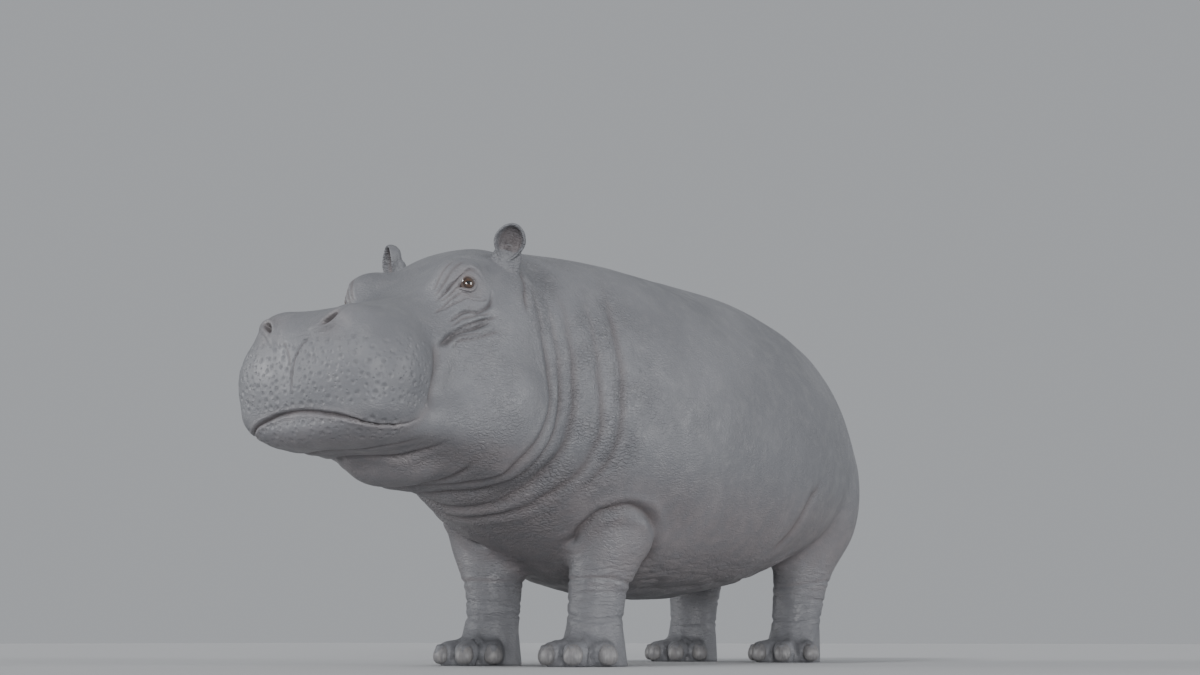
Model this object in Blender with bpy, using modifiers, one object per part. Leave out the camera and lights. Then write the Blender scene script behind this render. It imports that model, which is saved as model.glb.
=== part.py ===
"""A life-size still model of a standing hippopotamus, in metres.

The frame has +Z up. The animal faces -Y, its left side is +X, and the floor is Z = 0.
Every length forward of the middle of the stance is written as "ahead", so ahead = -Y.
The flesh is modelled whole from lofted sections and rounded masses, and then parted with
thin cuts into head, jaw, neck, trunk, legs and feet. Eyes, ears, nails and tail fit into it.
"""

import math

import bmesh
import bpy
import numpy as np
from mathutils import Matrix, Vector
from mathutils.bvhtree import BVHTree

# ---------------------------------------------------------------- driving sizes
SIDES = {"left": 1, "right": -1}
GAP = 0.0004                 # clearance between neighbouring solids
FRONT_FOOT = (0.232, 0.665)  # half spacing of the front feet, and their middle ahead
HIND_FOOT = (0.250, -0.745)
RING = 40                    # points round one section of the body
FLESH_VOXEL = 0.016          # grain of the blended flesh
FLESH_SOFTENING = 6
HEAD_SOFTENING = 14
FLESH_TRIANGLES = 2760

# Sections of the body: ahead, half width, top, bottom, height of the widest line, squareness.
TRUNK = (
    (-1.20, 0.10, 1.02, 0.74, 0.90, 2.0),
    (-1.15, 0.27, 1.14, 0.61, 0.87, 2.1),
    (-1.02, 0.405, 1.248, 0.51, 0.84, 2.2),
    (-0.80, 0.515, 1.367, 0.42, 0.80, 2.2),
    (-0.50, 0.59, 1.445, 0.33, 0.79, 2.2),
    (-0.20, 0.62, 1.475, 0.265, 0.78, 2.2),
    (0.10, 0.62, 1.470, 0.245, 0.78, 2.2),
    (0.38, 0.60, 1.468, 0.27, 0.80, 2.2),
    (0.60, 0.555, 1.467, 0.34, 0.83, 2.2),
    (0.80, 0.49, 1.448, 0.42, 0.87, 2.2),
    (1.00, 0.41, 1.425, 0.50, 0.91, 2.1),
    (1.14, 0.33, 1.37, 0.57, 0.95, 2.0),
    (1.22, 0.18, 1.25, 0.70, 0.97, 2.0),
)
SKULL = (
    (0.96, 0.28, 1.36, 0.84, 1.02, 2.2),
    (1.08, 0.360, 1.42, 0.72, 0.98, 2.4),
    (1.22, 0.350, 1.385, 0.72, 0.96, 2.6),
    (1.36, 0.322, 1.270, 0.73, 0.95, 2.7),
    (1.48, 0.288, 1.190, 0.74, 0.92, 2.6),
    (1.575, 0.285, 1.160, 0.745, 0.90, 2.4),
    (1.66, 0.330, 1.135, 0.732, 0.88, 2.4),
    (1.76, 0.342, 1.105, 0.730, 0.875, 2.5),
    (1.84, 0.290, 1.065, 0.745, 0.88, 2.5),
    (1.88, 0.205, 1.020, 0.775, 0.89, 2.4),
    (1.898, 0.100, 0.960, 0.83, 0.89, 2.2),
)
JAW = (
    (0.94, 0.24, 0.90, 0.60, 0.76, 2.0),
    (1.02, 0.36, 0.98, 0.575, 0.80, 2.2),
    (1.18, 0.388, 0.98, 0.585, 0.80, 2.5),
    (1.34, 0.368, 0.95, 0.618, 0.79, 2.6),
    (1.50, 0.325, 0.88, 0.655, 0.77, 2.5),
    (1.64, 0.305, 0.83, 0.660, 0.755, 2.3),
    (1.76, 0.290, 0.81, 0.662, 0.750, 2.3),
    (1.83, 0.235, 0.80, 0.680, 0.752, 2.3),
    (1.868, 0.130, 0.79, 0.715, 0.755, 2.1),
)
# Sections of a leg: height, side, ahead, half width, half length.
FRONT_LEG = (
    (0.90, 0.330, 0.520, 0.150, 0.190),
    (0.66, 0.320, 0.550, 0.175, 0.195),
    (0.50, 0.283, 0.583, 0.146, 0.155),
    (0.36, 0.249, 0.608, 0.119, 0.123),
    (0.24, 0.229, 0.621, 0.100, 0.105),
    (0.14, 0.227, 0.630, 0.098, 0.102),
    (0.07, 0.231, 0.646, 0.114, 0.120),
    (-0.02, 0.232, 0.650, 0.128, 0.134),
)
HIND_LEG = (
    (0.95, 0.300, -0.760, 0.190, 0.270),
    (0.72, 0.310, -0.830, 0.195, 0.265),
    (0.52, 0.292, -0.865, 0.168, 0.205),
    (0.36, 0.264, -0.830, 0.118, 0.136),
    (0.24, 0.254, -0.800, 0.102, 0.110),
    (0.14, 0.250, -0.785, 0.098, 0.106),
    (0.07, 0.250, -0.765, 0.110, 0.118),
    (-0.02, 0.250, -0.755, 0.118, 0.126),
)
# Rounded masses that stand out of the lofts on both sides: side, ahead, height, half sizes.
MASSES = (
    ((0.185, 1.325, 1.225), (0.092, 0.135, 0.105)),   # brow over the eye
    ((0.140, 1.775, 1.040), (0.085, 0.105, 0.070)),   # round the nostril
    ((0.215, 1.175, 0.825), (0.185, 0.280, 0.232)),   # jowl
    ((0.215, 1.735, 0.780), (0.105, 0.120, 0.066)),   # hanging upper lip
    ((0.050, 1.425, 0.680), (0.140, 0.150, 0.092)),   # pouch under the jaw
    ((0.020, -0.600, 0.400), (0.060, 0.100, 0.060)),  # fold before the hind legs
)
# Toes of a foot: turn outwards from straight ahead in degrees, reach from the foot's middle.
TOES = ((-50, 0.100), (-16, 0.128), (18, 0.130), (58, 0.108))
TOE_SIZE = (0.043, 0.070, 0.056)
TOE_HEIGHT = 0.040
NAIL_SIZE = (0.031, 0.024, 0.036)
NAIL_REACH = 0.054           # beyond the toe's middle
NAIL_HEIGHT = 0.041
NAIL_LEAN = 14
ANKLE_HEIGHT = 0.118
LEG_CUT = 0.035              # how far the legs' cuts stand out from the legs' lofts

EYE_HEIGHT = 1.214
EYE_AHEAD = 1.355
EYE_RADIUS = 0.034
EYE_DEPTH = 0.020            # of the ball's middle below the skin
EYE_TURN = 62                # degrees outwards from straight ahead
NOSTRIL = (0.142, 1.835, 1.056)
NOSTRIL_SIZE = (0.013, 0.030, 0.036)
NOSTRIL_TURN = (24, 38)      # outwards, and leaning back, degrees
EAR_ROOT = (0.232, 1.165, 1.345)
EAR_MIDDLE = (0.264, 1.180, 1.402)
EAR_SIZE = (0.053, 0.036, 0.062)
EAR_HOLLOW = (0.042, 0.038, 0.050)
EAR_TURN = 42                # the hollow's turn outwards from straight ahead
EAR_STALK = 0.034
TAIL = (                     # ahead, height, half width, half thickness
    (-1.120, 1.000, 0.050, 0.040),
    (-1.215, 0.900, 0.046, 0.030),
    (-1.235, 0.760, 0.034, 0.024),
    (-1.232, 0.640, 0.026, 0.016),
    (-1.230, 0.585, 0.012, 0.008),
)
# The line of the mouth from the front of the lips back through the cheek: ahead, height.
MOUTH_LINE = (
    (2.05, 0.770), (1.88, 0.765), (1.80, 0.735), (1.70, 0.742),
    (1.62, 0.785), (1.54, 0.850), (1.40, 0.880), (0.90, 0.860),
)
MOUTH_CUT = 0.0010
# Flat cuts across the body: ahead at the height 0.9, and lean of the cut backwards, degrees.
HEAD_CUT = (1.02, 14)
NECK_CUT = (0.74, 12)


# Base colour and roughness.
LOOKS = {
    "skin": ((0.17, 0.15, 0.15), 0.55),
    "ear": ((0.20, 0.16, 0.16), 0.60),
    "nail": ((0.13, 0.11, 0.10), 0.45),
    "eye": ((0.05, 0.025, 0.015), 0.08),
}


# ---------------------------------------------------------------- helpers
def clear_scene():
    for obj in list(bpy.data.objects):
        bpy.data.objects.remove(obj, do_unlink=True)


def along(rows, count):
    """count rows on a smooth curve through the given rows."""
    table = np.array(rows, float)
    steps = np.linalg.norm(np.diff(table[:, :4], axis=0), axis=1)
    knots = np.concatenate(([0.0], np.cumsum(np.sqrt(steps))))
    slopes = np.gradient(table, knots, axis=0)
    found = []
    for at in np.linspace(0, knots[-1], count):
        k = min(int(np.searchsorted(knots, at, side="right")) - 1, len(rows) - 2)
        wide = knots[k + 1] - knots[k]
        t = (at - knots[k]) / wide
        found.append(
            (2 * t**3 - 3 * t**2 + 1) * table[k]
            + (t**3 - 2 * t**2 + t) * wide * slopes[k]
            + (3 * t**2 - 2 * t**3) * table[k + 1]
            + (t**3 - t**2) * wide * slopes[k + 1]
        )
    return found


def loft(bm, rings):
    """A closed surface over rings of equal numbers of points, with a pole at each end."""
    made = [[bm.verts.new(point) for point in ring] for ring in rings]
    count = len(made[0])
    for low, high in zip(made, made[1:]):
        for i in range(count):
            j = (i + 1) % count
            bm.faces.new((low[i], low[j], high[j], high[i]))
    for ring in (made[0], made[-1]):
        centre = bm.verts.new(sum((v.co for v in ring), Vector()) / count)
        for i in range(count):
            bm.faces.new((ring[i], ring[(i + 1) % count], centre))


def power(value, exponent):
    return math.copysign(abs(value) ** exponent, value)


def body_rings(rows, count):
    """Sections across the animal, rounder above their widest line than below it."""
    rings = []
    for ahead, half, top, bottom, widest, square in along(rows, count):
        ring = []
        for k in range(RING):
            turn = 2 * math.pi * k / RING
            upper = math.sin(turn) > 0
            across = half * power(math.cos(turn), 2 / square)
            rise = power(math.sin(turn), 2 / (0.5 * square + 1 if upper else square))
            reach = top - widest if upper else widest - bottom
            ring.append(Vector((across, -ahead, widest + reach * rise)))
        rings.append(ring)
    return rings


def leg_rings(rows, side, count, grow=0.0, around=RING // 2):
    rings = []
    for height, out, ahead, half_wide, half_long in along(rows, count):
        ring = []
        for k in range(around):
            turn = 2 * math.pi * k / around
            across = (half_wide + grow) * math.cos(turn)
            forward = (half_long + grow) * math.sin(turn)
            ring.append(Vector((side * out + across, -ahead + forward, height)))
        rings.append(ring)
    return rings


def ball(bm, centre, size, turn=Matrix.Identity(4), segments=24):
    """An ellipsoid of the given half sizes."""
    place = Matrix.Translation(centre) @ turn @ Matrix.Diagonal((*size, 1.0))
    bmesh.ops.create_uvsphere(
        bm, u_segments=segments, v_segments=segments // 2, radius=1.0, matrix=place
    )


def at(point, side):
    """A place given as distance out, ahead and height, on the left (1) or right (-1)."""
    return Vector((side * point[0], -point[1], point[2]))


def toe_places(foot, side):
    """For each toe its name, middle on the floor, heading and the way it points."""
    middle = Vector((side * foot[0], -foot[1], 0.0))
    for number, (outwards, reach) in enumerate(TOES, 1):
        turn = Matrix.Rotation(math.radians(side * outwards), 4, "Z")
        heading = turn @ Vector((0, -1, 0))
        yield number, middle + reach * heading, heading, turn


def new_object(name, bm, collection):
    bmesh.ops.recalc_face_normals(bm, faces=bm.faces)
    mesh = bpy.data.meshes.new(name)
    bm.to_mesh(mesh)
    bm.free()
    obj = bpy.data.objects.new(name, mesh)
    collection.objects.link(obj)
    return obj


def helper(name, bm, collection):
    """A cutter, which isn't part of the model."""
    obj = new_object(name, bm, collection)
    obj.hide_render = True
    obj.display_type = "WIRE"
    return obj


def apply_modifiers(obj):
    """Replaces the object's mesh by what its modifiers make of it."""
    graph = bpy.context.evaluated_depsgraph_get()
    graph.update()
    mesh = bpy.data.meshes.new_from_object(obj.evaluated_get(graph))
    obj.modifiers.clear()
    obj.data = mesh
    return obj


def cut(obj, cutter, operation="DIFFERENCE", solver="EXACT"):
    boolean = obj.modifiers.new(operation.title(), "BOOLEAN")
    boolean.operation = operation
    boolean.solver = solver
    boolean.object = cutter
    return apply_modifiers(obj)


def copy_of(obj, name, collection):
    made = bpy.data.objects.new(name, obj.data.copy())
    collection.objects.link(made)
    return made


def keep_side(obj, point, normal):
    """Keeps what lies on the side of the plane that its normal points to, and closes the cut."""
    bm = bmesh.new()
    bm.from_mesh(obj.data)
    bmesh.ops.bisect_plane(
        bm,
        geom=bm.verts[:] + bm.edges[:] + bm.faces[:],
        plane_co=point,
        plane_no=normal,
        clear_inner=True,
    )
    rim = [edge for edge in bm.edges if edge.is_boundary]
    bmesh.ops.holes_fill(bm, edges=rim)
    bmesh.ops.triangulate(bm, faces=[face for face in bm.faces if len(face.verts) > 4])
    bm.to_mesh(obj.data)
    bm.free()


# ---------------------------------------------------------------- the flesh
def build_flesh(collection):
    """The whole body without eyes, ears, nails and tail, as one blended surface."""
    bm = bmesh.new()
    for rows in (TRUNK, SKULL, JAW):
        loft(bm, body_rings(rows, 48))
    for side in SIDES.values():
        for rows in (FRONT_LEG, HIND_LEG):
            loft(bm, leg_rings(rows, side, 24))
        for place, size in MASSES:
            ball(bm, at(place, side), size)
        for foot in (FRONT_FOOT, HIND_FOOT):
            for _, middle, _, turn in toe_places(foot, side):
                ball(bm, middle + Vector((0, 0, TOE_HEIGHT)), TOE_SIZE, turn)
    flesh = new_object("flesh", bm, collection)
    remesh = flesh.modifiers.new("Blend", "REMESH")
    remesh.mode = "VOXEL"
    remesh.voxel_size = FLESH_VOXEL
    apply_modifiers(flesh)
    head = flesh.vertex_groups.new(name="head")
    for vertex in flesh.data.vertices:
        ahead, height = -vertex.co.y, vertex.co.z
        much = min(1.0, max(0.0, (ahead - 0.80) / 0.25))
        much *= min(1.0, max(0.0, (height - 0.5) / 0.15))
        if much:
            head.add([vertex.index], much, "REPLACE")
    for name, group, times in (
        ("Soften", "", FLESH_SOFTENING),
        ("Soften head", "head", HEAD_SOFTENING),
    ):
        soften = flesh.modifiers.new(name, "SMOOTH")
        soften.factor = 0.5
        soften.iterations = times
        soften.vertex_group = group
    apply_modifiers(flesh)
    flesh.data.calc_loop_triangles()
    thin = flesh.modifiers.new("Facets", "DECIMATE")
    thin.ratio = FLESH_TRIANGLES / len(flesh.data.loop_triangles)
    thin.use_symmetry = True
    thin.symmetry_axis = "X"
    apply_modifiers(flesh)
    bm = bmesh.new()
    bm.from_mesh(flesh.data)
    bmesh.ops.symmetrize(
        bm, input=bm.verts[:] + bm.edges[:] + bm.faces[:], direction="X", dist=0.0001
    )
    bm.to_mesh(flesh.data)
    bm.free()
    keep_side(flesh, (0, 0, 0), (0, 0, 1))
    flesh.name = "trunk"
    return flesh


def islands(bm):
    """The separate pieces of the mesh, as sets of faces."""
    left = set(bm.faces)
    while left:
        piece, edge_of = set(), [left.pop()]
        while edge_of:
            face = edge_of.pop()
            piece.add(face)
            for edge in face.edges:
                for other in edge.link_faces:
                    if other in left:
                        left.discard(other)
                        edge_of.append(other)
        yield piece


def keep_piece(obj, near=None):
    """Keeps one connected piece: the largest, or the one round the given place."""
    bm = bmesh.new()
    bm.from_mesh(obj.data)
    pieces = list(islands(bm))

    def rank(piece):
        points = [v.co for face in piece for v in face.verts]
        if near is None:
            return -len(points)
        return min((point - near).length for point in points)

    pieces.sort(key=rank)
    spare = [face for piece in pieces[1:] for face in piece]
    bmesh.ops.delete(bm, geom=spare, context="FACES")
    bm.to_mesh(obj.data)
    bm.free()


def nudged(obj, collection, towards):
    """A helper that stands out of the object by the gap, for cutting what grows out of it."""
    made = copy_of(obj, f"{obj.name}_cutter", collection)
    made.hide_render = True
    made.display_type = "WIRE"
    made.data.transform(Matrix.Translation(Vector(towards).normalized() * 1.25 * GAP))
    return made


def surface(obj, origin, direction):
    """The place where a ray from inside leaves the object."""
    tree = BVHTree.FromObject(obj, bpy.context.evaluated_depsgraph_get())
    place, _, _, _ = tree.ray_cast(Vector(origin), Vector(direction))
    return place


# ---------------------------------------------------------------- the parting
def take_feet(flesh, collection):
    """Each foot, cut off flat above the toes, with the flesh left without it."""
    feet = {}
    for name, foot in (("front", FRONT_FOOT), ("hind", HIND_FOOT)):
        for side_name, side in SIDES.items():
            obj = copy_of(flesh, f"foot_{name}_{side_name}", collection)
            keep_side(obj, (0, 0, ANKLE_HEIGHT), (0, 0, -1))
            keep_piece(obj, Vector((side * foot[0], -foot[1], 0)))
            feet[name, side_name] = obj
    keep_side(flesh, (0, 0, ANKLE_HEIGHT + GAP), (0, 0, 1))
    return feet


def take_legs(flesh, collection):
    for name, rows in (("front", FRONT_LEG), ("hind", HIND_LEG)):
        for side_name, side in SIDES.items():
            leg = copy_of(flesh, f"leg_{name}_{side_name}", collection)
            for obj, operation, grow in ((leg, "INTERSECT", 0.0), (flesh, "DIFFERENCE", GAP)):
                column = [row for row in rows if row[0] < 0.7]
                bm = bmesh.new()
                rings = leg_rings(column, side, 7, LEG_CUT + grow, 16)
                top = rings[0]
                middle = sum(top, Vector()) / len(top)
                dome = []
                for share, rise in ((0.45, 0.085), (0.8, 0.055)):
                    dome.append(
                        [
                            middle + (point - middle) * share + Vector((0, 0, rise + grow))
                            for point in top
                        ]
                    )
                loft(bm, dome + rings)
                cutter = helper(f"{leg.name}_cutter", bm, collection)
                cut(obj, cutter, operation, "MANIFOLD")
                bpy.data.objects.remove(cutter)
            keep_piece(leg)
    keep_piece(flesh)


def slice_off(flesh, name, place, collection):
    """The part of the flesh ahead of a leaning cut, as its own object."""
    ahead, lean = place
    normal = Vector((0, -math.cos(math.radians(lean)), math.sin(math.radians(lean))))
    point = Vector((0, -ahead, 0.9))
    obj = copy_of(flesh, name, collection)
    keep_side(obj, point + normal * GAP, normal)
    keep_side(flesh, point, -normal)
    return obj


def open_mouth(head, collection):
    """Parts the lower jaw from the head along the line of the mouth."""
    bm = bmesh.new()
    rows = along([(a, z, 0, 0) for a, z in MOUTH_LINE], 18)
    half = MOUTH_CUT / 2
    ring = [Vector((0, -row[0], row[1] + half)) for row in rows]
    ring += [Vector((0, -row[0], row[1] - half)) for row in reversed(rows)]
    walls = [[bm.verts.new(p + Vector((x, 0, 0))) for p in ring] for x in (-0.7, 0.7)]
    count = len(ring)
    for i in range(count):
        j = (i + 1) % count
        bm.faces.new((walls[0][i], walls[0][j], walls[1][j], walls[1][i]))
    last = count - 1
    for wall in walls:
        for i in range(count // 2 - 1):
            bm.faces.new((wall[i], wall[i + 1], wall[last - i - 1], wall[last - i]))
    cutter = helper("mouth_cutter", bm, collection)
    cut(head, cutter)
    bpy.data.objects.remove(cutter)
    jaw = copy_of(head, "jaw", collection)
    keep_piece(head, Vector((0, -1.5, 1.6)))
    keep_piece(jaw, Vector((0, -1.5, 0.2)))
    return jaw


def fit_ball(host, name, centre, size, turn, collection, segments):
    """An ellipsoid set into its host, which gets a socket for it."""
    bm = bmesh.new()
    ball(bm, centre, [half + GAP for half in size], turn, segments)
    cutter = helper(f"{name}_cutter", bm, collection)
    cut(host, cutter)
    bpy.data.objects.remove(cutter)
    bm = bmesh.new()
    ball(bm, centre, size, turn, segments)
    return new_object(name, bm, collection)


def add_eyes(head, collection):
    for side_name, side in SIDES.items():
        turn = math.radians(EYE_TURN)
        aim = Vector((side * math.sin(turn), -math.cos(turn), 0.06)).normalized()
        inside = at((0.20, EYE_AHEAD, EYE_HEIGHT), side) - 0.06 * aim
        middle = surface(head, inside, aim) - EYE_DEPTH * aim
        size = (EYE_RADIUS,) * 3
        fit_ball(head, f"eye_{side_name}", middle, size, Matrix.Identity(4), collection, 12)


def add_nostrils(head, collection):
    for side in SIDES.values():
        outwards, lean = (math.radians(angle) for angle in NOSTRIL_TURN)
        turn = Matrix.Rotation(side * outwards, 4, "Z") @ Matrix.Rotation(-lean, 4, "X")
        aim = (at(NOSTRIL, side) - at((0.12, 1.72, 0.98), side)).normalized()
        place = surface(head, at((0.12, 1.72, 0.98), side), aim)
        bm = bmesh.new()
        ball(bm, place, NOSTRIL_SIZE, turn, 10)
        cutter = helper("nostril_cutter", bm, collection)
        cut(head, cutter)
        bpy.data.objects.remove(cutter)


def add_ears(head, collection):
    """Each ear is a hollow oval cup on a short stalk, cut off clear of the head."""
    for side_name, side in SIDES.items():
        root, middle = at(EAR_ROOT, side), at(EAR_MIDDLE, side)
        upright = (middle - root).to_track_quat("Z", "Y").to_matrix().to_4x4()
        facing = Matrix.Rotation(math.radians(side * EAR_TURN), 4, "Z")
        up = (middle - root).normalized()
        ahead = facing @ Vector((0, -1, 0))
        ahead = (ahead - ahead.dot(up) * up).normalized()
        across = ahead.cross(up)
        turn = Matrix((across, -ahead, up)).transposed().to_4x4()
        bm = bmesh.new()
        ball(bm, middle, EAR_SIZE, turn, 14)
        ear = new_object(f"ear_{side_name}", bm, collection)
        bm = bmesh.new()
        rings = []
        for share, wide in ((-0.35, 1.25), (0.0, 1.1), (0.35, 0.95), (0.75, 0.95)):
            centre = root.lerp(middle, share)
            rings.append(
                [
                    centre
                    + upright @ Vector((math.cos(a), math.sin(a), 0)) * EAR_STALK * wide
                    for a in (2 * math.pi * k / 10 for k in range(10))
                ]
            )
        loft(bm, rings)
        stalk = helper("ear_stalk", bm, collection)
        cut(ear, stalk, "UNION")
        bpy.data.objects.remove(stalk)
        bm = bmesh.new()
        ball(bm, middle + 0.024 * ahead + 0.003 * up, EAR_HOLLOW, turn, 12)
        hollow = helper("ear_hollow", bm, collection)
        cut(ear, hollow)
        bpy.data.objects.remove(hollow)
        edge = nudged(head, collection, up)
        cut(ear, edge)
        bpy.data.objects.remove(edge)
        keep_piece(ear, middle + 0.05 * up)


def add_nails(feet, collection):
    for (name, side_name), foot in feet.items():
        where = FRONT_FOOT if name == "front" else HIND_FOOT
        for number, middle, heading, turn in toe_places(where, SIDES[side_name]):
            place = middle + heading * NAIL_REACH + Vector((0, 0, NAIL_HEIGHT))
            lean = turn @ Matrix.Rotation(math.radians(-NAIL_LEAN), 4, "X")
            fit_ball(
                foot,
                f"nail_{name}_{side_name}_{number}",
                place,
                NAIL_SIZE,
                lean,
                collection,
                9,
            )


def add_tail(trunk, collection):
    rings = []
    for ahead, height, half_wide, half_thick in along(TAIL, 9):
        rings.append(
            [
                Vector((half_wide * math.cos(a), -ahead + half_thick * math.sin(a), height))
                for a in (2 * math.pi * k / 12 for k in range(12))
            ]
        )
    bm = bmesh.new()
    loft(bm, rings)
    tail = new_object("tail", bm, collection)
    edge = nudged(trunk, collection, (0, 1, 0.3))
    cut(tail, edge)
    bpy.data.objects.remove(edge)
    keep_piece(tail, at((0, TAIL[-1][0], TAIL[-1][1]), 1))


def paint(collection):
    """Gives every node a material of its own: skin, nail or eye."""
    for obj in collection.objects:
        kind = obj.name.split("_")[0]
        colour, roughness = LOOKS.get(kind, LOOKS["skin"])
        material = bpy.data.materials.new(obj.name)
        material.use_nodes = True
        shader = material.node_tree.nodes["Principled BSDF"]
        shader.inputs["Base Color"].default_value = (*colour, 1.0)
        shader.inputs["Roughness"].default_value = roughness
        obj.data.materials.clear()
        obj.data.materials.append(material)
        if kind in ("eye", "nail"):
            obj.data.shade_smooth()


def settle(collection):
    """Moves the whole animal so that the origin is the middle of its box, on the floor."""
    points = [v.co for obj in collection.objects for v in obj.data.vertices]
    low = min(point.y for point in points)
    high = max(point.y for point in points)
    for obj in collection.objects:
        obj.data.transform(Matrix.Translation((0, -(low + high) / 2, 0)))
    return (low + high) / 2


def main():
    clear_scene()
    collection = bpy.data.collections.new("hippopotamus")
    bpy.context.scene.collection.children.link(collection)
    flesh = build_flesh(collection)
    feet = take_feet(flesh, collection)
    head = slice_off(flesh, "head", HEAD_CUT, collection)
    slice_off(flesh, "neck", NECK_CUT, collection)
    take_legs(flesh, collection)
    open_mouth(head, collection)
    add_eyes(head, collection)
    add_nostrils(head, collection)
    add_ears(head, collection)
    add_nails(feet, collection)
    add_tail(flesh, collection)
    paint(collection)
    return settle(collection)


if __name__ == "__main__":
    main()
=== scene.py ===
"""Looks of a life-size standing hippopotamus.

One skin stands for every node of flesh. It starts as a blend of those nodes, is smoothed, and is
then worked over in steps, as clay is: large forms, folds along curves, lids, lips and nostrils.
Eyes, nails and tail bristles are pieces of their own. The animal faces -Y and its left is +X.
"""

import math

import bmesh
import bpy
import numpy as np
from mathutils import Matrix, Vector
from mathutils.bvhtree import BVHTree


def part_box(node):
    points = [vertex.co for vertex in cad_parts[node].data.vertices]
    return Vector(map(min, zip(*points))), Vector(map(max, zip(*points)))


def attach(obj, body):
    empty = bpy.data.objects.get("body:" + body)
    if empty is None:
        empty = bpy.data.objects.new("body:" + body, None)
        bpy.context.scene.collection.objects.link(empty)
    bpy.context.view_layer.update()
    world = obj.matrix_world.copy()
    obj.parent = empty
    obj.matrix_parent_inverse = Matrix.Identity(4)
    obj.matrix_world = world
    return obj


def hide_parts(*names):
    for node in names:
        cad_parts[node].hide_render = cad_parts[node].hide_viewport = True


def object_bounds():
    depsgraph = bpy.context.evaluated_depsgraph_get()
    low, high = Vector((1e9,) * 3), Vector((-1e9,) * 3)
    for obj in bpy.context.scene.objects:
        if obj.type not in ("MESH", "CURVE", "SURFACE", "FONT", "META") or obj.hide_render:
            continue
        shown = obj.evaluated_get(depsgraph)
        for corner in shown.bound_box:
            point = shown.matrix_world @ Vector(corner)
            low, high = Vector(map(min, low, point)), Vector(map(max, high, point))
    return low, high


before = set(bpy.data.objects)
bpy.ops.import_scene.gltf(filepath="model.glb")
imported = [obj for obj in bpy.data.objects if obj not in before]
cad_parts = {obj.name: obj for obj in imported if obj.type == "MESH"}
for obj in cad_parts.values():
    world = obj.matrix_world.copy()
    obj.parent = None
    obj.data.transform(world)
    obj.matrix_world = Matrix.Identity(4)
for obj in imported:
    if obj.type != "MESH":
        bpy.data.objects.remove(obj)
CAD_LOW, CAD_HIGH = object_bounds()

SIDES = {"left": 1.0, "right": -1.0}
GRAIN = 0.0075                # spacing of the skin's points before it is refined
EAR_GRAIN = 0.0026            # the same for an ear
CLOSE = 0.0008                # growth of each node, which closes the thin cuts
SOCKET = 0.001                # room between an eyeball and the skin blended round it
HEAD_FROM = -0.72             # the skin is twice as fine ahead of this Y
MIDDLE = 0.3                  # Y between the front and the hind legs
SKIN_TRIANGLES = 168000
EAR_TRIANGLES = 14000
JOIN = 0.016                  # reach of the evening-out where an ear meets the head
EYE_TURN = math.radians(62)   # outwards from straight ahead
EYE_TILT = math.radians(26)   # the slit of the lids rises to the rear
EYE_OPEN = np.radians((68, 50, 38))   # half width, up, down
EYE_MAP = 3.2                 # radians of the eyeball that its map spans
CORNEA = 0.028                # swell of the cornea, as a share of the ball's radius
EYE_PLAY = 0.0003             # room round the eyeball in its node's box
LID = 0.0040                  # thickness of the lids over the ball
CREASE_STEP = 0.012           # between the places of a crease
CREASE_SNAP = 0.06            # how far a crease is moved to lie on the skin
CREASE_TAPER = 0.24           # share of its length over which each end fades
LIP = 0.32                    # height of a fold's swollen sides, as a share of its depth
MOUTH_LIP = 0.14

MM = 1000                     # millimetres in a metre
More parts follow.
